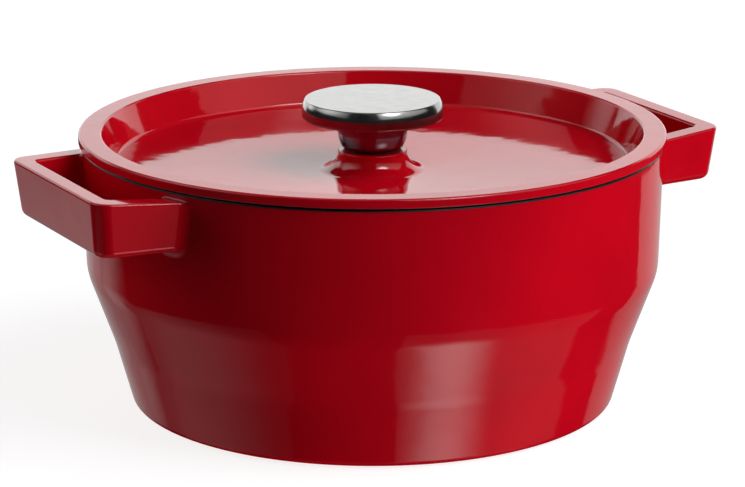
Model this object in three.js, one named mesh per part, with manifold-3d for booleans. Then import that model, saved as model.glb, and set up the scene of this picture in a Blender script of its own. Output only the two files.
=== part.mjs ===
// Round cast iron casserole of the 24 cm class: an enamelled pot with two loop handles cast on its
// sides, a sunken lid that plugs its mouth, and a steel knob held by one screw from below.
// Millimetres, +Z up. The origin is the middle of the base, and the handles lie along X.

import * as THREE from "three";
import { mergeVertices } from "three/addons/utils/BufferGeometryUtils.js";
import Module from "manifold-3d";

const wasm = await Module();
wasm.setup();

// Fineness of the round shapes.
const ROUND_STEPS = 64;
const NECK_ROUND_STEPS = 40;
const SMALL_ROUND_STEPS = 24;
const ARC_STEP = Math.PI / 6;

// Pot wall, from the rim down to the base. The flank leans in below a soft shoulder.
const RIM_RADIUS = 119;
const RIM_Z = 108.6;
const RIM_EDGE = 0.8;
const SHOULDER = { radius: 117.6, z: 56.3, round: 24 };
const WAIST = { radius: 107, z: 27.3, round: 71 };
const BASE_RADIUS = 99.4;
const BASE_EDGE = 3.7;
const MOUTH_RADIUS = 114.5;
const WALL = 4.5;
const FLOOR = 5;
const FLOOR_CORNER = 9;

// Loop handles, one at each end of X. Each tapers downwards, as it must to leave its mould.
const HANDLE_REACH = 142.2;
const HANDLE_ROOT_X = 105.6;
const HANDLE_END_HALF_WIDTH = 43.9;
const HANDLE_ROOT_HALF_WIDTH = 51.4;
const HANDLE_BAR = 7.9;
const HANDLE_ARM = 9.4;
const HANDLE_TOP = 106.9;
const HANDLE_HEIGHT = 22.9;
const HANDLE_ROOT_HEIGHT = 20;
const HANDLE_TAPER = 0.065;
const HANDLE_CORNER = 8;
const HANDLE_INNER_CORNER = 2.5;
const HANDLE_EDGE = 1.5;
const HANDLE_ROOT_DEPTH = 6;

// Lid: a flat rim around a sunken floor, with a boss in the middle that carries the knob. The floor
// falls towards the boss, and the underside follows it.
const LID_RADIUS = 120;
const LID_TOP = 112.9;
const LID_SEAT_GAP = 0.4;
const LID_EDGE = 1;
const LID_LOWER_EDGE = 0.5;
const RECESS_RADIUS = 110.7;
const RECESS_FLOOR_RADIUS = 105.7;
const RECESS_FLOOR_Z = 99.1;
const RECESS_FILLET = 2.2;
const RECESS_FALL = 3.6;
const LID_THICKNESS = 3.8;
const PLUG_TOP_RADIUS = 113.9;
const PLUG_BOTTOM_RADIUS = 109.2;
const PLUG_EDGE = 5;
const PLUG_FILLET = 0.6;
const BOSS_RADIUS = 14.2;
const BOSS_TOP = 104.1;
const BOSS_EDGE = 0.8;
const BOSS_FOOT_RADIUS = 14.5;
const BOSS_FILLET = 7.6;
const SCREW_HOLE_RADIUS = 3.3;

// Basting nubs under the lid: the radius of each ring and how many nubs it has.
const NUB_RINGS = [
  { radius: 34, count: 8 },
  { radius: 62, count: 14 },
  { radius: 90, count: 20 },
];
const NUB_RADIUS = 3.2;
const NUB_DROP = 2.2;

// Knob: a disc on a neck that rounds in towards its foot, over a threaded bush.
const DISC_RADIUS = 29;
const DISC_TOP_RADIUS = 27.6;
const DISC_TOP = 125.1;
const DISC_BOTTOM = 117.3;
const DISC_TOP_EDGE = 0.8;
const DISC_SHOULDER = { z: 122.4, round: 8 };
const DISC_BOTTOM_EDGE = 0.9;
const DISC_SOCKET_TOP = 121.2;
const NECK_RADIUS = 14.2;
const NECK_BELLY = { z: 108.2, round: 11.5 };
const NECK_BOTTOM_RADIUS = 12.3;
const NECK_BOTTOM = 105;
const NECK_EDGE = 0.6;
const BUSH_RADIUS = 6.2;
const BUSH_BORE_RADIUS = 3.1;
const BUSH_BOTTOM = 105.6;
const FIT = 0.1;

// Gasket, screw and washers on the axis of the knob.
const GASKET_RADIUS = 11.6;
const GASKET_HOLE_RADIUS = 4;
const SCREW_RADIUS = 3;
const SCREW_TOP = 119;
const SCREW_HEAD_RADIUS = 5.9;
const SCREW_HEAD_HEIGHT = 3.2;
const SCREW_HEAD_EDGE = 2;
const SCREW_TIP_EDGE = 0.8;
const CROSS_WIDTH = 1.3;
const CROSS_LENGTH = 6.4;
const CROSS_DEPTH = 1.7;
const WASHER_RADIUS = 7.5;
const WASHER_HOLE_RADIUS = 3.3;
const WASHER_THICKNESS = 1.2;
const WASHER_EDGE = 0.3;
const SPRING_RADIUS = 5.6;
const SPRING_THICKNESS = 1.5;
const SPRING_SPLIT = 0.32;

// Heights that follow from the sizes above.
const SEAT_Z = RIM_Z + LID_SEAT_GAP;
const BOSS_FOOT_Z = RECESS_FLOOR_Z - RECESS_FALL;
const LID_UNDERSIDE = BOSS_FOOT_Z - LID_THICKNESS;
const WASHER_TOP = LID_UNDERSIDE - FIT;
const SPRING_TOP = WASHER_TOP - WASHER_THICKNESS - FIT;
const HEAD_TOP = SPRING_TOP - SPRING_THICKNESS - FIT;
const HEAD_BOTTOM = HEAD_TOP - SCREW_HEAD_HEIGHT;

const redEnamel = new THREE.MeshStandardMaterial({ color: 0xb8041c, roughness: 0.12, metalness: 0 });
const lidEnamel = redEnamel.clone();
const polishedSteel = new THREE.MeshStandardMaterial({
  color: 0xc9cac6,
  roughness: 0.22,
  metalness: 1,
});
const neckSteel = polishedSteel.clone();
const brass = new THREE.MeshStandardMaterial({ color: 0xb08d4a, roughness: 0.4, metalness: 1 });
const blackRubber = new THREE.MeshStandardMaterial({
  color: 0x141414,
  roughness: 0.8,
  metalness: 0,
});
const zincSteel = new THREE.MeshStandardMaterial({ color: 0xa9abad, roughness: 0.4, metalness: 1 });
const washerSteel = zincSteel.clone();
const springSteel = new THREE.MeshStandardMaterial({
  color: 0x55575a,
  roughness: 0.45,
  metalness: 1,
});

// Rounds each corner [x, y, radius] of an outline with an arc that is tangent to both its sides.
// An open outline keeps its two end points as they are.
function rounded(corners, closed = false) {
  const points = [];
  const count = corners.length;
  corners.forEach(([x, y, radius = 0], index) => {
    const corner = new THREE.Vector2(x, y);
    const isEnd = !closed && (index === 0 || index === count - 1);
    if (isEnd || radius === 0) {
      points.push(corner);
      return;
    }
    const [beforeX, beforeY] = corners[(index + count - 1) % count];
    const [afterX, afterY] = corners[(index + 1) % count];
    const toBefore = new THREE.Vector2(beforeX, beforeY).sub(corner).normalize();
    const toAfter = new THREE.Vector2(afterX, afterY).sub(corner).normalize();
    const halfAngle = Math.acos(toBefore.dot(toAfter)) / 2;
    const middle = toBefore.clone().add(toAfter).normalize();
    const centre = corner.clone().addScaledVector(middle, radius / Math.sin(halfAngle));
    const start = corner.clone().addScaledVector(toBefore, radius / Math.tan(halfAngle)).sub(centre);
    const turn = Math.sign(toBefore.cross(toAfter)) * -(Math.PI - 2 * halfAngle);
    const steps = Math.max(1, Math.ceil(Math.abs(turn) / ARC_STEP));
    for (let step = 0; step <= steps; step += 1) {
      const spoke = start.clone().rotateAround(new THREE.Vector2(), (turn * step) / steps);
      points.push(spoke.add(centre));
    }
  });
  return closed ? [...points, points[0].clone()] : points;
}

// A solid of revolution about Z. Profile points are (radius, height), outside upwards.
function turned(profile, steps = ROUND_STEPS) {
  return new THREE.LatheGeometry(profile, steps).rotateX(Math.PI / 2);
}

// A ring of revolution with a square section, for washers and bushes.
function ring(innerRadius, outerRadius, bottom, top, edge = 0) {
  const corners = [
    [innerRadius, bottom],
    [outerRadius, bottom, edge],
    [outerRadius, top, edge],
    [innerRadius, top],
  ];
  return turned(rounded(corners, true), SMALL_ROUND_STEPS);
}

function toSolid(geometry) {
  const bare = geometry.clone();
  bare.deleteAttribute("normal");
  bare.deleteAttribute("uv");
  const merged = mergeVertices(bare);
  const mesh = new wasm.Mesh({
    numProp: 3,
    vertProperties: merged.attributes.position.array,
    triVerts: new Uint32Array(merged.index.array),
  });
  return new wasm.Manifold(mesh);
}

function toGeometry(solid) {
  const mesh = solid.getMesh();
  const geometry = new THREE.BufferGeometry();
  geometry.setAttribute("position", new THREE.BufferAttribute(mesh.vertProperties, 3));
  geometry.setIndex(new THREE.BufferAttribute(mesh.triVerts, 1));
  geometry.computeVertexNormals();
  return geometry;
}

// The pot without its handles and hollow.
function potBlock() {
  return turned(
    rounded([
      [0, 0],
      [BASE_RADIUS, 0, BASE_EDGE],
      [WAIST.radius, WAIST.z, WAIST.round],
      [SHOULDER.radius, SHOULDER.z, SHOULDER.round],
      [RIM_RADIUS, RIM_Z, RIM_EDGE],
      [0, RIM_Z],
    ]),
  );
}

// The pot's hollow, which runs out past the rim so that it cuts cleanly.
function potHollow() {
  const aboveRim = RIM_Z + 10;
  return turned(
    rounded([
      [0, FLOOR],
      [BASE_RADIUS - WALL, FLOOR, FLOOR_CORNER],
      [WAIST.radius - WALL, WAIST.z, WAIST.round],
      [SHOULDER.radius - WALL, SHOULDER.z, SHOULDER.round],
      [MOUTH_RADIUS, aboveRim],
      [0, aboveRim],
    ]),
  );
}

// Half the handle's width at a distance x from the pot's axis, measured at its top.
function handleHalfWidth(x) {
  const slope = (HANDLE_ROOT_HALF_WIDTH - HANDLE_END_HALF_WIDTH) / (HANDLE_REACH - HANDLE_ROOT_X);
  return HANDLE_END_HALF_WIDTH + (HANDLE_REACH - x) * slope;
}

// The U of one handle from above. Its arms end inside the pot wall.
function handleOutline() {
  const rootX = HANDLE_ROOT_X - HANDLE_ROOT_DEPTH;
  const barX = HANDLE_REACH - HANDLE_BAR;
  const rootOut = handleHalfWidth(rootX);
  const rootIn = rootOut - HANDLE_ARM;
  const barIn = handleHalfWidth(barX) - HANDLE_ARM;
  return rounded(
    [
      [rootX, -rootOut],
      [HANDLE_REACH, -HANDLE_END_HALF_WIDTH, HANDLE_CORNER],
      [HANDLE_REACH, HANDLE_END_HALF_WIDTH, HANDLE_CORNER],
      [rootX, rootOut],
      [rootX, rootIn],
      [barX, barIn, HANDLE_INNER_CORNER],
      [barX, -barIn, HANDLE_INNER_CORNER],
      [rootX, -rootIn],
    ],
    true,
  );
}

// One handle on the +X side. Going down it draws in towards the pot, and it gets taller going out.
function handle() {
  const geometry = new THREE.ExtrudeGeometry(new THREE.Shape(handleOutline()), {
    depth: HANDLE_HEIGHT - 2 * HANDLE_EDGE,
    bevelThickness: HANDLE_EDGE,
    bevelSize: HANDLE_EDGE,
    bevelOffset: -HANDLE_EDGE,
    bevelSegments: 2,
  });
  geometry.translate(0, 0, HANDLE_TOP - HANDLE_HEIGHT + HANDLE_EDGE);
  const middleZ = HANDLE_TOP - HANDLE_HEIGHT / 2;
  const position = geometry.attributes.position;
  for (let i = 0; i < position.count; i += 1) {
    const reach = position.getX(i) - HANDLE_ROOT_X;
    const fromTop = (HANDLE_TOP - position.getZ(i)) / HANDLE_HEIGHT;
    const shrink = 1 - HANDLE_TAPER * fromTop;
    const outwards = reach / (HANDLE_REACH - HANDLE_ROOT_X);
    const height = THREE.MathUtils.lerp(HANDLE_ROOT_HEIGHT, HANDLE_HEIGHT, outwards);
    position.setXYZ(
      i,
      HANDLE_ROOT_X + reach * shrink,
      position.getY(i) * shrink,
      middleZ + (0.5 - fromTop) * height,
    );
  }
  return geometry;
}

function potBody() {
  const right = toSolid(handle());
  const left = toSolid(handle().rotateZ(Math.PI));
  const outside = toSolid(potBlock()).add(right).add(left);
  return toGeometry(outside.subtract(toSolid(potHollow())));
}

// Height of the lid's underside outside the flat patch below the boss.
function undersideZ(radius) {
  const outwards = (radius - BOSS_FOOT_RADIUS) / (PLUG_BOTTOM_RADIUS - BOSS_FOOT_RADIUS);
  return LID_UNDERSIDE + RECESS_FALL * outwards;
}

function lidPlate() {
  return turned(
    rounded(
      [
        [SCREW_HOLE_RADIUS, LID_UNDERSIDE],
        [BOSS_FOOT_RADIUS, LID_UNDERSIDE],
        [PLUG_BOTTOM_RADIUS, undersideZ(PLUG_BOTTOM_RADIUS), PLUG_EDGE],
        [PLUG_TOP_RADIUS, SEAT_Z, PLUG_FILLET],
        [LID_RADIUS, SEAT_Z, LID_LOWER_EDGE],
        [LID_RADIUS, LID_TOP, LID_EDGE],
        [RECESS_RADIUS, LID_TOP, LID_EDGE],
        [RECESS_FLOOR_RADIUS, RECESS_FLOOR_Z, RECESS_FILLET],
        [BOSS_FOOT_RADIUS, BOSS_FOOT_Z, BOSS_FILLET],
        [BOSS_RADIUS, BOSS_TOP, BOSS_EDGE],
        [SCREW_HOLE_RADIUS, BOSS_TOP],
      ],
      true,
    ),
  );
}

// The nubs that drip water back on the food, in staggered rings.
function lidNubs() {
  return NUB_RINGS.flatMap(({ radius, count }, ringIndex) =>
    Array.from({ length: count }, (_, index) => {
      const angle = ((index + ringIndex / 2) / count) * 2 * Math.PI;
      return new THREE.SphereGeometry(NUB_RADIUS, 6, 4)
        .rotateX(Math.PI / 2)
        .translate(
          radius * Math.cos(angle),
          radius * Math.sin(angle),
          undersideZ(radius) + NUB_RADIUS - NUB_DROP,
        );
    }),
  );
}

function lid() {
  const plate = toSolid(lidPlate());
  return toGeometry(lidNubs().reduce((solid, nub) => solid.add(toSolid(nub)), plate));
}

function knobDisc() {
  const socketRadius = BUSH_RADIUS + FIT;
  return turned(
    rounded([
      [0, DISC_SOCKET_TOP],
      [socketRadius, DISC_SOCKET_TOP],
      [socketRadius, DISC_BOTTOM],
      [DISC_RADIUS, DISC_BOTTOM, DISC_BOTTOM_EDGE],
      [DISC_RADIUS, DISC_SHOULDER.z, DISC_SHOULDER.round],
      [DISC_TOP_RADIUS, DISC_TOP, DISC_TOP_EDGE],
      [0, DISC_TOP],
    ]),
  );
}

function knobNeck() {
  const boreRadius = BUSH_RADIUS + FIT;
  const top = DISC_BOTTOM - FIT;
  return turned(
    rounded(
      [
        [boreRadius, NECK_BOTTOM],
        [NECK_BOTTOM_RADIUS, NECK_BOTTOM, NECK_EDGE],
        [NECK_RADIUS, NECK_BELLY.z, NECK_BELLY.round],
        [NECK_RADIUS, top],
        [boreRadius, top],
      ],
      true,
    ),
    NECK_ROUND_STEPS,
  );
}

function lidScrew() {
  const blank = turned(
    rounded([
      [0, HEAD_BOTTOM],
      [SCREW_HEAD_RADIUS, HEAD_BOTTOM, SCREW_HEAD_EDGE],
      [SCREW_HEAD_RADIUS, HEAD_TOP],
      [SCREW_RADIUS, HEAD_TOP],
      [SCREW_RADIUS, SCREW_TOP, SCREW_TIP_EDGE],
      [0, SCREW_TOP],
    ]),
    SMALL_ROUND_STEPS,
  );
  const depth = 2 * CROSS_DEPTH;
  const slots = [
    new THREE.BoxGeometry(CROSS_LENGTH, CROSS_WIDTH, depth),
    new THREE.BoxGeometry(CROSS_WIDTH, CROSS_LENGTH, depth),
  ];
  const cut = slots.reduce(
    (solid, slot) => solid.subtract(toSolid(slot.translate(0, 0, HEAD_BOTTOM))),
    toSolid(blank),
  );
  return toGeometry(cut);
}

// The split ring between the screw head and the flat washer.
function springWasher() {
  const shape = new THREE.Shape();
  shape.absarc(0, 0, SPRING_RADIUS, SPRING_SPLIT / 2, 2 * Math.PI - SPRING_SPLIT / 2);
  shape.absarc(0, 0, WASHER_HOLE_RADIUS, 2 * Math.PI - SPRING_SPLIT / 2, SPRING_SPLIT / 2, true);
  return new THREE.ExtrudeGeometry(shape, {
    depth: SPRING_THICKNESS,
    bevelEnabled: false,
    curveSegments: SMALL_ROUND_STEPS,
  }).translate(0, 0, SPRING_TOP - SPRING_THICKNESS);
}

function named(name, geometry, material) {
  const mesh = new THREE.Mesh(geometry, material);
  mesh.name = name;
  return mesh;
}

const pot = new THREE.Group();
pot.add(named("pot_body", potBody(), redEnamel));

const lidAndKnob = new THREE.Group();
lidAndKnob.add(
  named("lid", lid(), lidEnamel),
  named("knob_disc", knobDisc(), polishedSteel),
  named("knob_neck", knobNeck(), neckSteel),
  named(
    "threaded_bush",
    ring(BUSH_BORE_RADIUS, BUSH_RADIUS, BUSH_BOTTOM, DISC_SOCKET_TOP - FIT),
    brass,
  ),
  named(
    "knob_gasket",
    ring(GASKET_HOLE_RADIUS, GASKET_RADIUS, BOSS_TOP + FIT, NECK_BOTTOM - FIT),
    blackRubber,
  ),
  named(
    "flat_washer",
    ring(WASHER_HOLE_RADIUS, WASHER_RADIUS, WASHER_TOP - WASHER_THICKNESS, WASHER_TOP, WASHER_EDGE),
    washerSteel,
  ),
  named("spring_washer", springWasher(), springSteel),
  named("lid_screw", lidScrew(), zincSteel),
);

const casserole = new THREE.Group();
casserole.add(pot, lidAndKnob);

export default casserole;
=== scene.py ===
"""The looks of a red enamelled cast iron casserole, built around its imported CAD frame.

Metres, +Z up. The origin is the middle of the base, and the loop handles lie along X.
"""

import math

import bpy
import numpy as np
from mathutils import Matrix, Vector

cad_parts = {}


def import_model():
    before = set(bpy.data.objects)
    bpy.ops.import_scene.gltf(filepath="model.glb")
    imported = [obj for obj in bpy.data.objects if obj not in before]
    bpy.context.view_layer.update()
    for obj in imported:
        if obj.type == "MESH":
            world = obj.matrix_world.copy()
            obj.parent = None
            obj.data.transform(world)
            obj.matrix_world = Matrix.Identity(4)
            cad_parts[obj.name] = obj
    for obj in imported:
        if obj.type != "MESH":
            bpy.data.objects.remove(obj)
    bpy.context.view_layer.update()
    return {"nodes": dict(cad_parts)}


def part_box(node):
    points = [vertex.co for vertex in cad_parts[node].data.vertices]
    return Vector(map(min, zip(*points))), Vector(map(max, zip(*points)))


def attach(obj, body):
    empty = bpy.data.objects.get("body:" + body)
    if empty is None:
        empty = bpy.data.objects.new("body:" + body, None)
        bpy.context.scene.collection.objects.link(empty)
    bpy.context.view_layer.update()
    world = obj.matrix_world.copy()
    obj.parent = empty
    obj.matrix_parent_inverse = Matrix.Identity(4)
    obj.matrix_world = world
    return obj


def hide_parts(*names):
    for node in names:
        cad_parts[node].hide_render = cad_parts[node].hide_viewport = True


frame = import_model()


# ---------------------------------------------------------------- sizes

def turned_size(node):
    """(radius, lowest height, highest height) of a CAD node that is turned about Z."""
    low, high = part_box(node)
    return high.x, low.z, high.z


POT_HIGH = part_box("pot_body")[1]
LID_RADIUS, _, LID_TOP = turned_size("lid")
DISC_RADIUS, DISC_BOTTOM, DISC_TOP = turned_size("knob_disc")
NECK_RADIUS, NECK_BOTTOM, NECK_TOP = turned_size("knob_neck")
GASKET_RADIUS, GASKET_BOTTOM, GASKET_TOP = turned_size("knob_gasket")
WASHER_RADIUS, WASHER_BOTTOM, WASHER_TOP = turned_size("flat_washer")
SPRING_RADIUS, SPRING_BOTTOM, SPRING_TOP = turned_size("spring_washer")
HEAD_RADIUS, HEAD_BOTTOM, SCREW_TOP = turned_size("lid_screw")

# Fineness of round shapes: steps round the pot and round small pieces, and how far an arc may
# lie off its true curve. A smaller turn counts as straight, and a smaller radius as no radius.
ROUND_STEPS = 288
SMALL_ROUND_STEPS = 96
CHORD_ERROR = 0.000004
STRAIGHT = 1e-6
ON_AXIS = 1e-7

# Pot wall, with the same corners as the CAD pot.
RIM_RADIUS = 0.119
RIM_Z = POT_HIGH.z
RIM_EDGE = 0.0009
SHOULDER = (0.1176, 0.0563, 0.024)
WAIST = (0.107, 0.0273, 0.071)
BASE_RADIUS = 0.0994
BASE_EDGE = 0.0037
MOUTH_RADIUS = 0.1145
MOUTH_EDGE = 0.0016
WALL = 0.0045
FLOOR = 0.005
FLOOR_CORNER = 0.009
BLACK_RIM_DEPTH = 0.0009
FOOT_RADIUS = 0.086
FOOT_STEP = 0.0003
FOOT_SLOPE = 0.001
FOOT_EDGE = 0.001

# Loop handles. The search for the pot's wall runs from behind an arm's end to past it.
HANDLE_REACH = POT_HIGH.x
HANDLE_ROOT_X = 0.1056
HANDLE_END_HALF_WIDTH = 0.0439
HANDLE_ROOT_HALF_WIDTH = 0.0514
HANDLE_BAR = 0.0079
HANDLE_ARM = 0.0094
HANDLE_TOP = 0.1069
HANDLE_HEIGHT = 0.0229
HANDLE_ROOT_HEIGHT = 0.020
HANDLE_TAPER = 0.065
HANDLE_CORNER = 0.008
HANDLE_INNER_CORNER = 0.0028
HANDLE_TOP_EDGE = 0.0012
HANDLE_BOTTOM_EDGE = 0.003
ROOT_FILLET = 0.0038
ROOT_TOP_FILLET = 0.0016
ROOT_SEARCH = (-0.02, 0.04)
ROOT_SEARCH_HALVINGS = 40
CORNER_STEPS = 14
SECTION_STEPS = 6

# Lid. Its floor falls towards the boss, and the underside follows it.
SEAT_Z = 0.109
LID_EDGE = 0.0011
LID_LOWER_EDGE = 0.0006
RECESS_RADIUS = 0.1107
RECESS_FLOOR_RADIUS = 0.1057
RECESS_FLOOR_Z = 0.0991
RECESS_FILLET = 0.0022
RECESS_FALL = 0.0036
RIM_START = RECESS_RADIUS + 0.001
LID_THICKNESS = 0.0038
PLUG_TOP_RADIUS = 0.1139
PLUG_BOTTOM_RADIUS = 0.1092
PLUG_EDGE = 0.005
PLUG_FILLET = 0.0006
BOSS_RADIUS = 0.0142
BOSS_TOP = 0.1041
BOSS_EDGE = 0.0008
BOSS_FOOT_RADIUS = 0.0145
BOSS_FOOT_Z = RECESS_FLOOR_Z - RECESS_FALL
BOSS_FILLET = 0.0076
LID_UNDERSIDE = BOSS_FOOT_Z - LID_THICKNESS
PLUG_LEAN = (RECESS_RADIUS - RECESS_FLOOR_RADIUS) / (LID_TOP - RECESS_FLOOR_Z)
SCREW_HOLE_RADIUS = 0.0033
NUB_RINGS = ((0.034, 8), (0.062, 14), (0.090, 20))
NUB_RADIUS = 0.0030
NUB_FOOT_RADIUS = 0.0042
NUB_DROP = 0.0022
NUB_ROUNDING = 0.0021
NUB_SPREAD = 0.0002
NUB_FILLET = 0.0009
NUB_SINK = 0.0005
NUB_STEPS = 24

# Knob and its fixings.
DISC_TOP_RADIUS = 0.0276
DISC_TOP_EDGE = 0.0008
DISC_SHOULDER = (0.1224, 0.008)
DISC_BOTTOM_EDGE = 0.0009
NECK_BELLY = (0.1082, 0.0115)
NECK_BOTTOM_RADIUS = 0.0123
NECK_EDGE = 0.0006
BORE_RADIUS = 0.0063
SOCKET_TOP = 0.1212
GASKET_HOLE_RADIUS = 0.004
GASKET_EDGE = 0.0003
WASHER_HOLE_RADIUS = 0.0033
WASHER_EDGE = 0.0002
SPRING_EDGE = 0.00015
SPRING_SPLIT = 0.32
SPRING_SLANT = 0.12
SCREW_RADIUS = 0.003
HEAD_HEIGHT = 0.0032
HEAD_ROUNDING = 0.002
HEAD_EDGE = 0.0002
THREAD_DEPTH = 0.0005
THREAD_PITCH = 0.001
THREAD_FLANK = 1.6
THREAD_ROOT = 0.3
THREAD_CHAMFER = 0.0008
THREAD_SINK = 0.0002
THREAD_SHARP_ANGLE = 32
CROSS_WIDTH = 0.00104
CROSS_LENGTH = 0.0064
CROSS_DEPTH = 0.0017
CROSS_NARROWING = 0.45
CROSS_OVERLAP = 0.0005

# The camera, as azimuth round the pot and elevation, and the height that it looks at.
CAMERA_AZIMUTH = -28.0
CAMERA_ELEVATION = 15.06
CAMERA_DISTANCE = 1.383
CAMERA_LENS = 161.9
CAMERA_CLIP = (0.05, 50)
AIM_HEIGHT = 0.0637

# Light and stage. A half is half the side of a square sheet.
LIGHT_DISTANCE = 1.6
LAMP_SIZE = 1.4
SCRIM_COLUMNS = 24
ROOM_GLOW = 0.03
WHITE_GLOW = 1.3
FLOOR_HALF = 6.0
FLOOR_Z = -0.0004
FLOOR_GLOW = 0.82
TABLE_HALF = 0.45
TABLE_Z = -0.0002
CEILING_HALF = 1.5
CEILING_Z = 3.6
CEILING_GLOW = 0.5


# ---------------------------------------------------------------- outlines and turned shapes

def turn_by(vector, angle):
    """A plane vector turned by an angle."""
    c, s = math.cos(angle), math.sin(angle)
    return (c * vector[0] - s * vector[1], s * vector[0] + c * vector[1])


def outline(corners, closed=False, arc_steps=None):
    """Rounds the corners (x, y, radius) of an outline with arcs tangent to both sides.

    The outline keeps its solid on the left. Each point comes with the outward normals of the
    stretches before and after it: (x, y, normal before, normal after)."""
    count = len(corners)
    points = []
    for i, (x, y, *rest) in enumerate(corners):
        before, after = corners[i - 1], corners[(i + 1) % count]
        u = Vector((x - before[0], y - before[1])).normalized()
        v = Vector((after[0] - x, after[1] - y)).normalized()
        if not closed and i == 0:
            u = v
        if not closed and i == count - 1:
            v = u
        normal_in, normal_out = (u.y, -u.x), (v.y, -v.x)
        turn = math.atan2(u.cross(v), u.dot(v))
        radius = rest[0] if rest else 0
        if radius == 0 or abs(turn) < STRAIGHT:
            points.append((x, y, normal_in, normal_out))
            continue
        step = math.sqrt(8 * CHORD_ERROR / radius)
        steps = arc_steps or max(2, math.ceil(abs(turn) / step))
        side = math.copysign(radius, turn)
        back = radius * math.tan(abs(turn) / 2)
        centre = Vector((x, y)) - u * back - side * Vector(normal_in)
        for k in range(steps + 1):
            normal = turn_by(normal_in, turn * k / steps)
            spot = centre + side * Vector(normal)
            points.append((spot.x, spot.y, normal, normal))
    return points


def new_object(name, vertices, faces, loop_normals=None, materials=(), face_materials=None):
    """A smooth mesh object, with its own normals at each face corner where they are given."""
    mesh = bpy.data.meshes.new(name)
    mesh.from_pydata(vertices, [], faces)
    for item in materials:
        mesh.materials.append(item)
    if face_materials is not None:
        mesh.polygons.foreach_set("material_index", face_materials)
    mesh.polygons.foreach_set("use_smooth", [True] * len(mesh.polygons))
    if loop_normals is not None:
        mesh.normals_split_custom_set(loop_normals)
    mesh.update()
    thing = bpy.data.objects.new(name, mesh)
    bpy.context.scene.collection.objects.link(thing)
    return thing


def turned_mesh(profile, closed=False, steps=ROUND_STEPS, pick=None):
    """Vertices, faces, face corner normals and material numbers of a profile turned about Z.

    pick(radius, height) gives the material number of the stretch that has its middle there."""
    angles = [2 * math.pi * k / steps for k in range(steps)]
    spokes = [(math.cos(angle), math.sin(angle)) for angle in angles]
    vertices, starts = [], []
    for radius, height, _, _ in profile:
        starts.append(len(vertices))
        if radius < ON_AXIS:
            vertices.append((0, 0, height))
        else:
            vertices += [(radius * c, radius * s, height) for c, s in spokes]
    faces, normals, numbers = [], [], []
    ends = range(len(profile)) if closed else range(len(profile) - 1)
    for i in ends:
        j = (i + 1) % len(profile)
        low, high = profile[i], profile[j]
        number = pick((low[0] + high[0]) / 2, (low[1] + high[1]) / 2) if pick else 0
        for k in range(steps):
            m = (k + 1) % steps
            corners = [(i, k, low[3]), (i, m, low[3]), (j, m, high[2]), (j, k, high[2])]
            if low[0] < ON_AXIS:
                corners.pop(1)
            if high[0] < ON_AXIS:
                corners.pop(2)
            faces.append([starts[p] + (0 if profile[p][0] < ON_AXIS else q) for p, q, _ in corners])
            normals += [(n[0] * spokes[q][0], n[0] * spokes[q][1], n[1]) for _, q, n in corners]
            numbers.append(number)
    return vertices, faces, normals, numbers


def turned(name, corners, materials, closed=False, steps=ROUND_STEPS, pick=None):
    """A turned object from the corners (radius, height, rounding) of its outline."""
    vertices, faces, normals, numbers = turned_mesh(outline(corners, closed), closed, steps, pick)
    return new_object(name, vertices, faces, normals, materials, numbers)


def smooth_normals(vertices, faces, fixed):
    """A normal for each vertex, weighted by face area, except the vertices that fixed names."""
    points = [Vector(v) for v in vertices]
    sums = [Vector() for _ in points]
    for face in faces:
        spread = Vector()
        for a, b in zip(face, face[1:] + face[:1]):
            spread += points[a].cross(points[b])
        for a in face:
            sums[a] += spread
    return [fixed.get(i) or tuple(s.normalized()) for i, s in enumerate(sums)]


# ---------------------------------------------------------------- materials

def grey(value):
    """An opaque grey."""
    return (value, value, value, 1)


def darkened(colour, share):
    """A colour with each of its parts multiplied by a share."""
    return tuple(share * part for part in colour[:3]) + (1,)


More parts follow.
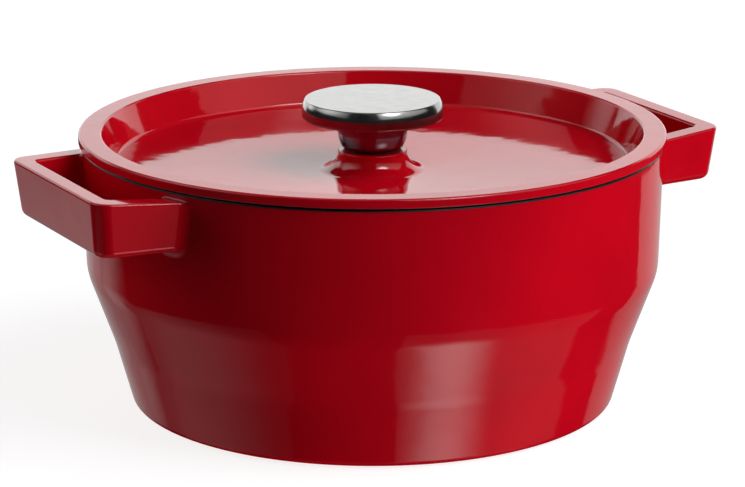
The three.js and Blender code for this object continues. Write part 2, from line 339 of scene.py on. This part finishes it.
class Look:
    """A material with one Principled shader, and short ways to add its nodes."""

    def __init__(self, name, **values):
        self.material = bpy.data.materials.new(name)
        self.material.use_nodes = True
        self.tree = self.material.node_tree
        self.shader = self.tree.nodes["Principled BSDF"]
        for socket, value in values.items():
            self.shader.inputs[socket.replace("_", " ")].default_value = value
        self.place = self.add("ShaderNodeTexCoord").outputs["Object"]

    def add(self, kind, **settings):
        """A new node with those settings."""
        node = self.tree.nodes.new(kind)
        for key, value in settings.items():
            setattr(node, key, value)
        return node

    def feed(self, socket, source):
        """Links a source to a socket, or sets the socket to it where it is a plain value."""
        if isinstance(source, bpy.types.NodeSocket):
            self.tree.links.new(source, socket)
        else:
            socket.default_value = source

    def noise(self, size, detail):
        """Noise with features of about that size in metres, from 0 to 1."""
        node = self.add("ShaderNodeTexNoise")
        self.feed(node.inputs["Vector"], self.place)
        node.inputs["Scale"].default_value = 1 / size
        node.inputs["Detail"].default_value = detail
        return node.outputs["Fac"]

    def patches(self, size, detail, low, high, start=0.3, end=0.7):
        """Noise of that size, with its range from start to end spread over low to high."""
        return self.remap(self.noise(size, detail), start, end, low, high)

    def cells(self, size):
        """Distance to the nearest of random points about that far apart."""
        node = self.add("ShaderNodeTexVoronoi")
        self.feed(node.inputs["Vector"], self.place)
        node.inputs["Scale"].default_value = 1 / size
        return node.outputs["Distance"]

    def rings(self, size, distortion):
        """Turning marks round Z, that far apart."""
        node = self.add("ShaderNodeTexWave", wave_type="RINGS", rings_direction="Z")
        self.feed(node.inputs["Vector"], self.place)
        node.inputs["Scale"].default_value = math.pi / (10 * size)
        node.inputs["Distortion"].default_value = distortion
        return node.outputs["Fac"]

    def remap(self, source, low, high, to_low, to_high, interpolation="LINEAR"):
        """A source's range from low to high, moved to the range from to_low to to_high."""
        node = self.add("ShaderNodeMapRange", interpolation_type=interpolation)
        self.feed(node.inputs["Value"], source)
        node.inputs["From Min"].default_value = low
        node.inputs["From Max"].default_value = high
        node.inputs["To Min"].default_value = to_low
        node.inputs["To Max"].default_value = to_high
        return node.outputs["Result"]

    def sum(self, *sources):
        """The sum of all sources."""
        total = sources[0]
        for source in sources[1:]:
            node = self.add("ShaderNodeMath", operation="ADD")
            self.feed(node.inputs[0], total)
            self.feed(node.inputs[1], source)
            total = node.outputs[0]
        return total

    def blend(self, share, colour_a, colour_b):
        """The first colour where the share is 0, and the second where it is 1."""
        node = self.add("ShaderNodeMix", data_type="RGBA")
        self.feed(node.inputs["Factor"], share)
        self.feed(node.inputs[6], colour_a)
        self.feed(node.inputs[7], colour_b)
        return node.outputs[2]

    def bump(self, height, depth):
        """Bump from a height of 0 to 1 that stands for that depth in metres."""
        node = self.add("ShaderNodeBump")
        node.inputs["Distance"].default_value = depth
        self.feed(node.inputs["Height"], height)
        self.feed(self.shader.inputs["Normal"], node.outputs["Normal"])

    def set(self, socket, source):
        """Feeds a socket of the shader itself."""
        self.feed(self.shader.inputs[socket], source)


def red_enamel():
    """Glassy enamel: faintly wavy as it flowed, with a slow drift in colour and a few pinpricks."""
    look = Look("red_enamel_look", IOR=1.42)
    prick_spacing = 0.011
    drift = look.patches(size=0.05, detail=3, low=0, high=1)
    red = look.blend(drift, (0.54, 0.0012, 0.0105, 1), (0.64, 0.0020, 0.0125, 1))
    specks = look.remap(look.cells(prick_spacing), 0.010, 0.022, 0.75, 0)
    look.set("Base Color", look.blend(specks, red, (0.20, 0.0010, 0.0050, 1)))
    look.set("Roughness", look.patches(size=0.018, detail=4, low=0.035, high=0.085))
    waves = look.noise(size=0.011, detail=1)
    peel = look.remap(look.noise(size=0.0022, detail=1), 0, 1, 0, 0.06)
    pits = look.remap(look.cells(prick_spacing), 0, 0.02, -0.12, 0)
    look.bump(look.sum(waves, peel, pits), depth=0.00009)
    return look.material


def black_enamel():
    """Satin black enamel with a fine speckle and the orange peel of a sprayed coat."""
    look = Look("black_enamel_look", IOR=1.5)
    fleck = look.remap(look.cells(0.0009), 0.10, 0.22, 0.55, 0)
    cloud = look.noise(size=0.03, detail=3)
    ground = look.blend(cloud, (0.012, 0.012, 0.013, 1), (0.022, 0.021, 0.021, 1))
    look.set("Base Color", look.blend(fleck, ground, grey(0.10)))
    look.set("Roughness", look.patches(size=0.006, detail=4, low=0.30, high=0.46))
    look.bump(look.noise(size=0.0012, detail=2), depth=0.00006)
    return look.material


def turned_steel(name, colour, roughness, mark_size, mark_depth):
    """Steel with turning marks round its axis and a little haze from handling."""
    look = Look(name, Metallic=1.0)
    haze = look.patches(size=0.006, detail=4, low=0, high=1, start=0.35)
    look.set("Base Color", look.blend(haze, colour, darkened(colour, 0.93)))
    look.set("Roughness", look.patches(size=0.004, detail=4, low=roughness, high=roughness * 1.6))
    look.bump(look.rings(mark_size, distortion=0.4), mark_depth)
    return look.material


def plated_steel(name, colour):
    """Zinc plate: fine grained, cloudy, with dull patches."""
    look = Look(name, Metallic=1.0)
    cloud = look.patches(size=0.0022, detail=5, low=0, high=1)
    look.set("Base Color", look.blend(cloud, colour, darkened(colour, 0.6)))
    look.set("Roughness", look.patches(size=0.0012, detail=5, low=0.28, high=0.5))
    look.bump(look.noise(size=0.0004, detail=3), depth=0.00001)
    return look.material


def brass():
    """Machined brass with turning marks and brown tarnish."""
    look = Look("brass_look", Metallic=1.0)
    tarnish = look.patches(size=0.003, detail=5, low=0, high=1, start=0.4)
    look.set("Base Color", look.blend(tarnish, (0.66, 0.46, 0.20, 1), (0.36, 0.22, 0.09, 1)))
    look.set("Roughness", look.patches(size=0.002, detail=4, low=0.22, high=0.42))
    look.bump(look.rings(0.0003, distortion=0.3), depth=0.000008)
    return look.material


def black_rubber():
    """Matt rubber with a faint grey bloom and a fine grain."""
    look = Look("black_rubber_look")
    bloom = look.patches(size=0.003, detail=5, low=0, high=1, start=0.4, end=0.75)
    look.set("Base Color", look.blend(bloom, grey(0.018), (0.035, 0.034, 0.033, 1)))
    look.set("Roughness", look.patches(size=0.001, detail=4, low=0.6, high=0.85))
    look.bump(look.noise(size=0.0003, detail=3), depth=0.00002)
    return look.material


RED = red_enamel()
BLACK = black_enamel()
DISC_STEEL = turned_steel(
    "disc_steel_look", (0.30, 0.30, 0.292, 1), roughness=0.13, mark_size=0.0002, mark_depth=0.0000012
)
# Painted shade: the neck's steel is darker and tinted purple to stand in for the shade that the disc
# casts on the lid round the boss, which the neck mirrors.
NECK_STEEL_PAINTED_SHADE = turned_steel(
    "neck_steel_painted_shade_look", (0.25, 0.23, 0.28, 1), roughness=0.10, mark_size=0.0002, mark_depth=0.0000010
)
ZINC = plated_steel("zinc_look", (0.60, 0.61, 0.62, 1))
SPRING_STEEL = plated_steel("spring_steel_look", (0.33, 0.34, 0.36, 1))
BRASS = brass()
RUBBER = black_rubber()


# ---------------------------------------------------------------- pot

def wall_radius(height):
    """The radius of the pot's outside at a height, apart from the rounding of its corners."""
    heights = (0, WAIST[1], SHOULDER[1], RIM_Z)
    radii = (BASE_RADIUS, WAIST[0], SHOULDER[0], RIM_RADIUS)
    return float(np.interp(height, heights, radii))


def pot_shell():
    """The pot without its handles: red outside, black inside and over the rim."""
    corners = [
        (0, FOOT_STEP),
        (FOOT_RADIUS, FOOT_STEP, FOOT_EDGE),
        (FOOT_RADIUS + FOOT_SLOPE, 0, FOOT_EDGE),
        (BASE_RADIUS, 0, BASE_EDGE),
        WAIST,
        SHOULDER,
        (RIM_RADIUS, RIM_Z, RIM_EDGE),
        (MOUTH_RADIUS, RIM_Z, MOUTH_EDGE),
        (SHOULDER[0] - WALL, SHOULDER[1], SHOULDER[2]),
        (WAIST[0] - WALL, WAIST[1], WAIST[2]),
        (BASE_RADIUS - WALL, FLOOR, FLOOR_CORNER),
        (0, FLOOR),
    ]

    def is_black(radius, height):
        on_rim = height > RIM_Z - BLACK_RIM_DEPTH
        inside = height > FLOOR - CHORD_ERROR and radius < wall_radius(height) - WALL / 2
        return int(on_rim or inside)

    pot = turned("pot_shell", corners, (RED, BLACK), pick=is_black)
    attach(pot, "pot")
    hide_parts("pot_body")


def handle_half_width(x):
    """Half the handle's width at a distance x from the pot's axis, measured at its top."""
    slope = (HANDLE_ROOT_HALF_WIDTH - HANDLE_END_HALF_WIDTH) / (HANDLE_REACH - HANDLE_ROOT_X)
    return HANDLE_END_HALF_WIDTH + (HANDLE_REACH - x) * slope


def handle_stations():
    """Pairs of outer and inner points along the U of a handle, seen from above."""
    bar_x = HANDLE_REACH - HANDLE_BAR
    outer_root = handle_half_width(HANDLE_ROOT_X)
    inner_end = handle_half_width(bar_x) - HANDLE_ARM
    outer = outline(
        [
            (HANDLE_ROOT_X, -outer_root),
            (HANDLE_REACH, -HANDLE_END_HALF_WIDTH, HANDLE_CORNER),
            (HANDLE_REACH, HANDLE_END_HALF_WIDTH, HANDLE_CORNER),
            (HANDLE_ROOT_X, outer_root),
        ],
        arc_steps=CORNER_STEPS,
    )
    inner = outline(
        [
            (HANDLE_ROOT_X, -outer_root + HANDLE_ARM),
            (bar_x, -inner_end, HANDLE_INNER_CORNER),
            (bar_x, inner_end, HANDLE_INNER_CORNER),
            (HANDLE_ROOT_X, outer_root - HANDLE_ARM),
        ],
        arc_steps=CORNER_STEPS,
    )
    return [(Vector(a[:2]), Vector(b[:2])) for a, b in zip(outer, inner)]


def handle_section(width):
    """The rounded section of the bar: (across from the outer face, height) with normals."""
    low, high = HANDLE_TOP - HANDLE_HEIGHT, HANDLE_TOP
    return outline(
        [
            (0, high, HANDLE_TOP_EDGE),
            (0, low, HANDLE_BOTTOM_EDGE),
            (width, low, HANDLE_BOTTOM_EDGE),
            (width, high, HANDLE_TOP_EDGE),
        ],
        closed=True,
        arc_steps=SECTION_STEPS,
    )


def draw_down(point):
    """The handle's taper: it draws in towards the pot going down and gets taller going out."""
    reach = point.x - HANDLE_ROOT_X
    from_top = (HANDLE_TOP - point.z) / HANDLE_HEIGHT
    shrink = 1 - HANDLE_TAPER * from_top
    outwards = reach / (HANDLE_REACH - HANDLE_ROOT_X)
    height = HANDLE_ROOT_HEIGHT + outwards * (HANDLE_HEIGHT - HANDLE_ROOT_HEIGHT)
    middle = HANDLE_TOP - HANDLE_HEIGHT / 2
    z = middle + (0.5 - from_top) * height
    return Vector((HANDLE_ROOT_X + reach * shrink, point.y * shrink, z))


def meet_wall(start, along):
    """Where a line from outside the pot meets its wall."""
    near, far = ROOT_SEARCH
    for _ in range(ROOT_SEARCH_HALVINGS):
        middle = (near + far) / 2
        spot = start + middle * along
        outside = math.hypot(spot.x, spot.y) > wall_radius(spot.z)
        near, far = (middle, far) if outside else (near, middle)
    return start + near * along


def root_rings(ring, inner_ring, section, across):
    """Rings that flare the end of an arm into the pot wall, and the wall normals of the last."""
    flare_steps = 8
    sink = 0.00002
    bury = 0.0015
    rows = [[] for _ in range(flare_steps + 2)]
    wall_normals = []
    for spot, before, (_, _, normal, _) in zip(ring, inner_ring, section):
        along = (spot - before).normalized()
        meet = meet_wall(spot, along)
        outward = Vector((meet.x, meet.y, 0)).normalized()
        push = across * normal[0] + Vector((0, 0, normal[1]))
        push = (push - outward * push.dot(outward)).normalized()
        size = ROOT_FILLET + (ROOT_TOP_FILLET - ROOT_FILLET) * max(0, normal[1])
        start = meet - along * size
        end = meet + push * size
        flat = Vector((end.x, end.y, 0)).normalized()
        end = flat * (wall_radius(end.z) - sink) + Vector((0, 0, end.z))
        for k in range(flare_steps + 1):
            t = k / flare_steps
            rows[k].append((1 - t) ** 2 * start + 2 * t * (1 - t) * meet + t * t * end)
        rows[-1].append(end - flat * bury)
        wall_normals.append(tuple(flat))
    return rows, wall_normals


def handle(name, sign):
    """One loop handle at sign * X, flared into the pot wall at both ends."""
    stations = handle_stations()
    rings = []
    for outer, inner in stations:
        width = (inner - outer).length
        step = (inner - outer) / width
        ring = []
        for across, height, _, _ in handle_section(width):
            spot = outer + step * across
            ring.append(draw_down(Vector((spot.x, spot.y, height))))
        rings.append(ring)
    section = handle_section(HANDLE_ARM)
    near_across = Vector((0, 1, 0))
    first, first_normals = root_rings(rings[0], rings[1], section, near_across)
    last, last_normals = root_rings(rings[-1], rings[-2], section, -near_across)
    rings = first[::-1] + rings[1:-1] + last
    size = len(section)
    vertices = [tuple(p) for ring in rings for p in ring]
    faces = []
    for r in range(len(rings) - 1):
        for k in range(size):
            m = (k + 1) % size
            faces.append([r * size + k, r * size + m, (r + 1) * size + m, (r + 1) * size + k])
    top = (len(rings) - 1) * size
    faces.append(list(range(size))[::-1])
    faces.append([top + k for k in range(size)])
    fixed = {size + k: n for k, n in enumerate(first_normals)}
    fixed.update({top - size + k: n for k, n in enumerate(last_normals)})
    normals = smooth_normals(vertices, faces, fixed)
    if sign < 0:
        vertices = [(-x, -y, z) for x, y, z in vertices]
        normals = [(-x, -y, z) for x, y, z in normals]
    loop_normals = [normals[v] for face in faces for v in face]
    loop = new_object(name, vertices, faces, loop_normals, (RED,))
    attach(loop, "pot")
    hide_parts("pot_body")


# ---------------------------------------------------------------- lid

def underside_z(radius):
    """Height of the lid's underside outside the flat patch below the boss."""
    outwards = (radius - BOSS_FOOT_RADIUS) / (PLUG_BOTTOM_RADIUS - BOSS_FOOT_RADIUS)
    return LID_UNDERSIDE + RECESS_FALL * outwards


def lid_plate():
    """Lid: red above and on its edge, black on the seat and underneath."""
    corners = [
        (SCREW_HOLE_RADIUS, LID_UNDERSIDE),
        (BOSS_FOOT_RADIUS, LID_UNDERSIDE),
        (PLUG_BOTTOM_RADIUS, underside_z(PLUG_BOTTOM_RADIUS), PLUG_EDGE),
        (PLUG_TOP_RADIUS, SEAT_Z, PLUG_FILLET),
        (LID_RADIUS, SEAT_Z, LID_LOWER_EDGE),
        (LID_RADIUS, LID_TOP, LID_EDGE),
        (RECESS_RADIUS, LID_TOP, LID_EDGE),
        (RECESS_FLOOR_RADIUS, RECESS_FLOOR_Z, RECESS_FILLET),
        (BOSS_FOOT_RADIUS, BOSS_FOOT_Z, BOSS_FILLET),
        (BOSS_RADIUS, BOSS_TOP, BOSS_EDGE),
        (SCREW_HOLE_RADIUS, BOSS_TOP),
    ]

    def is_black(radius, height):
        under_rim = height < SEAT_Z + LID_LOWER_EDGE / 2 and radius > RIM_START
        below = height < underside_z(radius) + LID_THICKNESS / 2 and radius < PLUG_TOP_RADIUS
        plug_side = radius > RECESS_RADIUS - (LID_TOP - height) * PLUG_LEAN + LID_THICKNESS / 2
        return int(under_rim or below or (plug_side and height < SEAT_Z))

    plate = turned("lid_plate", corners, (RED, BLACK), closed=True, pick=is_black)
    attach(plate, "lid")
    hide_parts("lid")


def lid_nubs():
    """The staggered nubs under the lid that drip water back on the food."""
    corners = [
        (0, -NUB_DROP),
        (NUB_RADIUS, -NUB_DROP, NUB_ROUNDING),
        (NUB_RADIUS + NUB_SPREAD, 0, NUB_FILLET),
        (NUB_FOOT_RADIUS, 0),
        (NUB_FOOT_RADIUS, NUB_SINK),
        (0, NUB_SINK),
    ]
    one, one_faces, one_normals, _ = turned_mesh(outline(corners), steps=NUB_STEPS)
    vertices, faces, normals = [], [], []
    for ring, (radius, count) in enumerate(NUB_RINGS):
        for index in range(count):
            angle = (index + ring / 2) / count * 2 * math.pi
            x, y = radius * math.cos(angle), radius * math.sin(angle)
            start = len(vertices)
            vertices += [(vx + x, vy + y, vz + underside_z(radius)) for vx, vy, vz in one]
            faces += [[start + v for v in face] for face in one_faces]
            normals += one_normals
    nubs = new_object("lid_nubs", vertices, faces, normals, (BLACK,))
    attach(nubs, "lid")


# ---------------------------------------------------------------- knob and fixings

def on_lid(piece, node):
    """Hangs a piece on the lid's body in place of a CAD node."""
    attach(piece, "lid")
    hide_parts(node)


def knob_disc():
    """The disc, with the socket in it that takes the top of the neck's bush."""
    disc = turned(
        "knob_disc_steel",
        [
            (0, SOCKET_TOP),
            (BORE_RADIUS, SOCKET_TOP),
            (BORE_RADIUS, DISC_BOTTOM),
            (DISC_RADIUS, DISC_BOTTOM, DISC_BOTTOM_EDGE),
            (DISC_RADIUS, *DISC_SHOULDER),
            (DISC_TOP_RADIUS, DISC_TOP, DISC_TOP_EDGE),
            (0, DISC_TOP),
        ],
        (DISC_STEEL,),
        steps=SMALL_ROUND_STEPS * 2,
    )
    on_lid(disc, "knob_disc")


def knob_neck():
    """The tapered sleeve under the disc."""
    neck = turned(
        "knob_neck_steel",
        [
            (BORE_RADIUS, NECK_BOTTOM),
            (NECK_BOTTOM_RADIUS, NECK_BOTTOM, NECK_EDGE),
            (NECK_RADIUS, *NECK_BELLY),
            (NECK_RADIUS, NECK_TOP),
            (BORE_RADIUS, NECK_TOP),
        ],
        (NECK_STEEL_PAINTED_SHADE,),
        closed=True,
        steps=SMALL_ROUND_STEPS * 2,
    )
    on_lid(neck, "knob_neck")


def flat_ring(name, hole, radius, bottom, top, edge, look):
    """A washer with softened edges."""
    corners = [
        (hole, bottom, edge),
        (radius, bottom, edge),
        (radius, top, edge),
        (hole, top, edge),
    ]
    return turned(name, corners, (look,), closed=True, steps=SMALL_ROUND_STEPS)


def gasket_and_washer():
    """The rubber ring under the neck, and the flat washer under the lid."""
    gasket = flat_ring(
        "knob_gasket_ring",
        GASKET_HOLE_RADIUS,
        GASKET_RADIUS,
        GASKET_BOTTOM,
        GASKET_TOP,
        GASKET_EDGE,
        RUBBER,
    )
    on_lid(gasket, "knob_gasket")
    washer = flat_ring(
        "flat_washer_ring",
        WASHER_HOLE_RADIUS,
        WASHER_RADIUS,
        WASHER_BOTTOM,
        WASHER_TOP,
        WASHER_EDGE,
        ZINC,
    )
    on_lid(washer, "flat_washer")


def spring_washer():
    """A split ring whose cut runs at a slant."""
    section = outline(
        [
            (WASHER_HOLE_RADIUS, SPRING_BOTTOM, SPRING_EDGE),
            (SPRING_RADIUS, SPRING_BOTTOM, SPRING_EDGE),
            (SPRING_RADIUS, SPRING_TOP, SPRING_EDGE),
            (WASHER_HOLE_RADIUS, SPRING_TOP, SPRING_EDGE),
        ],
        closed=True,
    )
    steps = 72
    middle = (SPRING_BOTTOM + SPRING_TOP) / 2
    half = (SPRING_TOP - SPRING_BOTTOM) / 2
    vertices, normals = [], []
    for k in range(steps + 1):
        sweep = SPRING_SPLIT / 2 + (2 * math.pi - SPRING_SPLIT) * k / steps
        for radius, height, normal, _ in section:
            angle = sweep + SPRING_SLANT * (height - middle) / half
            c, s = math.cos(angle), math.sin(angle)
            vertices.append((radius * c, radius * s, height))
            normals.append((normal[0] * c, normal[0] * s, normal[1]))
    size = len(section)
    faces = [
        [k * size + a, (k + 1) * size + a, (k + 1) * size + (a + 1) % size, k * size + (a + 1) % size]
        for k in range(steps)
        for a in range(size)
    ]
    loop_normals = [normals[v] for face in faces for v in face]
    start_cap = list(range(size))
    end_cap = [steps * size + a for a in range(size)][::-1]
    for cap, sweep, way in ((start_cap, SPRING_SPLIT / 2, 1), (end_cap, -SPRING_SPLIT / 2, -1)):
        faces.append(cap)
        loop_normals += [(way * math.sin(sweep), -way * math.cos(sweep), 0)] * size
    ring = new_object("spring_washer_ring", vertices, faces, loop_normals, (SPRING_STEEL,))
    on_lid(ring, "spring_washer")


def cross_recess(head_bottom):
    """The cutter for the screw's cross recess: two crossed wedges that shorten going up."""
    levels = ((head_bottom - CROSS_OVERLAP, 1), (head_bottom + CROSS_DEPTH, CROSS_NARROWING))
    vertices, faces = [], []
    for length, width in ((CROSS_LENGTH, CROSS_WIDTH), (CROSS_WIDTH, CROSS_LENGTH)):
        start = len(vertices)
        for height, share in levels:
            x = length / 2 * (share if length > width else 1)
            y = width / 2 * (share if width > length else 1)
            vertices += [(-x, -y, height), (x, -y, height), (x, y, height), (-x, y, height)]
        box = ((3, 2, 1, 0), (4, 5, 6, 7), (0, 1, 5, 4), (1, 2, 6, 5), (2, 3, 7, 6), (3, 0, 4, 7))
        faces += [[start + v for v in face] for face in box]
    return new_object("cross_cutter", vertices, faces)


def screw_head():
    """The pan head with its recess cut, as a finished mesh."""
    head_top = HEAD_BOTTOM + HEAD_HEIGHT
    blank = turned(
        "head_blank",
        [
            (0, HEAD_BOTTOM),
            (HEAD_RADIUS, HEAD_BOTTOM, HEAD_ROUNDING),
            (HEAD_RADIUS, head_top, HEAD_EDGE),
            (0, head_top),
        ],
        (ZINC,),
        steps=SMALL_ROUND_STEPS,
    )
    cutter = cross_recess(HEAD_BOTTOM)
    cut = blank.modifiers.new("recess", "BOOLEAN")
    cut.operation = "DIFFERENCE"
    cut.solver = "EXACT"
    cut.use_self = True
    cut.object = cutter
    bpy.context.view_layer.update()
    evaluated = blank.evaluated_get(bpy.context.evaluated_depsgraph_get())
    made = bpy.data.meshes.new_from_object(evaluated)
    bpy.data.objects.remove(blank)
    bpy.data.objects.remove(cutter)
    return made


def lid_screw():
    """The screw: a pan head with a cross recess, and a helical thread on its shank."""
    made = screw_head()
    vertices = [tuple(v.co) for v in made.vertices]
    faces = [list(p.vertices) for p in made.polygons]
    bpy.data.meshes.remove(made)
    steps, per_pitch = 32, 6
    bottom = HEAD_BOTTOM + HEAD_HEIGHT - THREAD_SINK
    rows = math.ceil((SCREW_TOP - bottom) / THREAD_PITCH * per_pitch)
    base = len(vertices)
    for row in range(rows + 1):
        height = bottom + (SCREW_TOP - bottom) * row / rows
        for k in range(steps):
            phase = (height / THREAD_PITCH - k / steps) % 1
            ridge = min(1.0, max(0.0, abs(2 * phase - 1) * THREAD_FLANK - THREAD_ROOT))
            chamfer = min(1.0, (SCREW_TOP - height) / THREAD_CHAMFER)
            radius = SCREW_RADIUS - THREAD_DEPTH * max(1 - chamfer, 1 - ridge)
            angle = 2 * math.pi * k / steps
            vertices.append((radius * math.cos(angle), radius * math.sin(angle), height))
    for row in range(rows):
        for k in range(steps):
            m = (k + 1) % steps
            low, high = base + row * steps, base + (row + 1) * steps
            faces.append([low + k, low + m, high + m, high + k])
    faces.append([base + k for k in range(steps)][::-1])
    faces.append([base + rows * steps + k for k in range(steps)])
    screw = new_object("lid_screw_steel", vertices, faces, materials=(ZINC,))
    screw.data.set_sharp_from_angle(angle=math.radians(THREAD_SHARP_ANGLE))
    on_lid(screw, "lid_screw")


def carried_over():
    """The bush is hidden in the neck, so its CAD solid stays, in machined brass."""
    bush = frame["nodes"]["threaded_bush"]
    bush.data.materials.clear()
    bush.data.materials.append(BRASS)


# ---------------------------------------------------------------- camera, light and stage

def direction(azimuth, elevation):
    """From the object towards a place at that azimuth and elevation. Azimuth 0 is at -Y."""
    a, e = math.radians(azimuth), math.radians(elevation)
    return Vector((math.sin(a) * math.cos(e), -math.cos(a) * math.cos(e), math.sin(e)))


def aimed(thing, place, target):
    """Puts a camera or lamp at a place, looking at a target."""
    thing.location = place
    thing.rotation_mode = "QUATERNION"
    thing.rotation_quaternion = (target - place).to_track_quat("-Z", "Y")
    bpy.context.scene.collection.objects.link(thing)


def camera():
    """The camera, aimed at a point on the pot's axis."""
    lens = bpy.data.cameras.new("camera")
    lens.lens = CAMERA_LENS
    lens.clip_start, lens.clip_end = CAMERA_CLIP
    thing = bpy.data.objects.new("camera", lens)
    target = Vector((0, 0, AIM_HEIGHT))
    aimed(thing, target + direction(CAMERA_AZIMUTH, CAMERA_ELEVATION) * CAMERA_DISTANCE, target)
    bpy.context.scene.camera = thing


def lamp(name, azimuth, elevation, radiance):
    """A soft square light that no reflection shows. Azimuth runs from the camera to its right."""
    light = bpy.data.lights.new(name, "AREA")
    light.size = LAMP_SIZE
    light.energy = radiance * math.pi * LAMP_SIZE ** 2
    thing = bpy.data.objects.new(name, light)
    thing.visible_camera = False
    thing.visible_glossy = False
    target = Vector((0, 0, AIM_HEIGHT))
    aimed(thing, target + direction(CAMERA_AZIMUTH + azimuth, elevation) * LIGHT_DISTANCE, target)


def glow(name, low, high, bottom, top, spot=None):
    """A white glow that goes from low at the bottom height to high at the top, with a hot spot.

    spot is (centre, radius, extra glow)."""
    look = Look(name)
    height = look.add("ShaderNodeSeparateXYZ")
    look.feed(height.inputs[0], look.place)
    strength = look.remap(height.outputs["Z"], bottom, top, low, high)
    if spot:
        centre, radius, extra = spot
        away = look.add("ShaderNodeVectorMath", operation="DISTANCE")
        look.feed(away.inputs[0], look.place)
        away.inputs[1].default_value = centre
        falloff = look.remap(away.outputs["Value"], 0, radius, extra, 0, "SMOOTHERSTEP")
        strength = look.sum(strength, falloff)
    emission = look.add("ShaderNodeEmission")
    look.feed(emission.inputs["Strength"], strength)
    look.feed(look.tree.nodes["Material Output"].inputs["Surface"], emission.outputs[0])
    look.tree.nodes.remove(look.shader)
    return look.material


def only_in_reflections(thing):
    """Makes a thing part of the stage that only reflections see."""
    for kind in ("camera", "diffuse", "shadow", "transmission", "volume_scatter"):
        setattr(thing, "visible_" + kind, False)


def scrim(name, azimuths, elevations, low, high, hot=None):
    """A curved sheet of light round the object, which only shows in its reflections.

    hot is (azimuth, elevation, width of the hot spot in degrees, extra glow)."""
    heights = [LIGHT_DISTANCE * math.tan(math.radians(e)) for e in elevations]
    vertices, faces = [], []
    for k in range(SCRIM_COLUMNS + 1):
        azimuth = azimuths[0] + (azimuths[1] - azimuths[0]) * k / SCRIM_COLUMNS
        foot = direction(CAMERA_AZIMUTH + azimuth, 0) * LIGHT_DISTANCE
        vertices += [(foot.x, foot.y, height) for height in heights]
    for k in range(SCRIM_COLUMNS):
        faces.append([2 * k, 2 * k + 2, 2 * k + 3, 2 * k + 1])
    spot = None
    if hot:
        azimuth, elevation, width, extra = hot
        foot = direction(CAMERA_AZIMUTH + azimuth, 0) * LIGHT_DISTANCE
        height = LIGHT_DISTANCE * math.tan(math.radians(elevation))
        radius = LIGHT_DISTANCE * math.tan(math.radians(width))
        spot = ((foot.x, foot.y, height), radius, extra)
    look = glow(name + "_glow", low, high, heights[0], heights[1], spot)
    only_in_reflections(new_object(name, vertices, faces, materials=(look,)))


def sheet_of(name, half, height, look):
    """A flat square at a height, with its middle on the Z axis."""
    corners = [(x * half, y * half, height) for x, y in ((-1, -1), (1, -1), (1, 1), (-1, 1))]
    return new_object(name, corners, [[0, 1, 2, 3]], materials=(look,))


def stage():
    """A pale floor that the camera sees, and a dark glossy table top that the reflections see."""
    paper = Look("floor_look", Roughness=0.9, Emission_Color=grey(1), Emission_Strength=FLOOR_GLOW)
    paper_cloud = paper.noise(size=0.4, detail=2)
    paper.set("Base Color", paper.blend(paper_cloud, grey(0.33), grey(0.35)))
    floor = sheet_of("floor", FLOOR_HALF, FLOOR_Z, paper.material)
    for kind in ("glossy", "diffuse", "shadow"):
        setattr(floor, "visible_" + kind, False)
    top = Look("table_look", Metallic=1.0, Roughness=0.08)
    top.set("Base Color", top.blend(top.noise(size=0.1, detail=2), grey(0.17), grey(0.19)))
    only_in_reflections(sheet_of("table_top", TABLE_HALF, TABLE_Z, top.material))


def world():
    """White behind the object, and a dim room in its reflections."""
    room = bpy.data.worlds.new("room")
    room.use_nodes = True
    tree = room.node_tree
    dim = tree.nodes["Background"]
    dim.inputs["Color"].default_value = grey(1)
    dim.inputs["Strength"].default_value = ROOM_GLOW
    white = tree.nodes.new("ShaderNodeBackground")
    white.inputs["Strength"].default_value = WHITE_GLOW
    white.inputs["Color"].default_value = grey(1)
    path = tree.nodes.new("ShaderNodeLightPath")
    mix = tree.nodes.new("ShaderNodeMixShader")
    tree.links.new(path.outputs["Is Camera Ray"], mix.inputs[0])
    tree.links.new(dim.outputs[0], mix.inputs[1])
    tree.links.new(white.outputs[0], mix.inputs[2])
    tree.links.new(mix.outputs[0], tree.nodes["World Output"].inputs["Surface"])
    bpy.context.scene.world = room


def lights():
    """Lamps for the shading, and glowing sheets all round for the mirror images in the enamel."""
    lamp("key", azimuth=70, elevation=45, radiance=3.7)
    lamp("bounce", azimuth=60, elevation=-45, radiance=3.3)
    lamp("side", azimuth=-110, elevation=10, radiance=2.2)
    scrim("key_scrim", (13, 105), (22, 66), low=0.7, high=2.6, hot=(40, 50, 28, 18))
    scrim("side_scrim", (-122, -44), (22, 58), low=0.35, high=0.35, hot=(-92, 44, 42, 1.8))
    scrim("handle_card", (-148, -110), (10, 36), low=0, high=0, hot=(-129, 22, 20, 2.6))
    scrim("backdrop", (128, 224), (-3, 30), low=1.5, high=1.5)
    ceiling_glow = glow("ceiling_glow", low=CEILING_GLOW, high=CEILING_GLOW, bottom=0, top=1)
    only_in_reflections(sheet_of("ceiling", CEILING_HALF, CEILING_Z, ceiling_glow))
    bpy.context.scene.view_settings.view_transform = "Standard"


camera()
pot_shell()
handle("handle_right", 1)
handle("handle_left", -1)
lid_plate()
lid_nubs()
knob_disc()
knob_neck()
gasket_and_washer()
spring_washer()
lid_screw()
carried_over()
stage()
world()
lights()
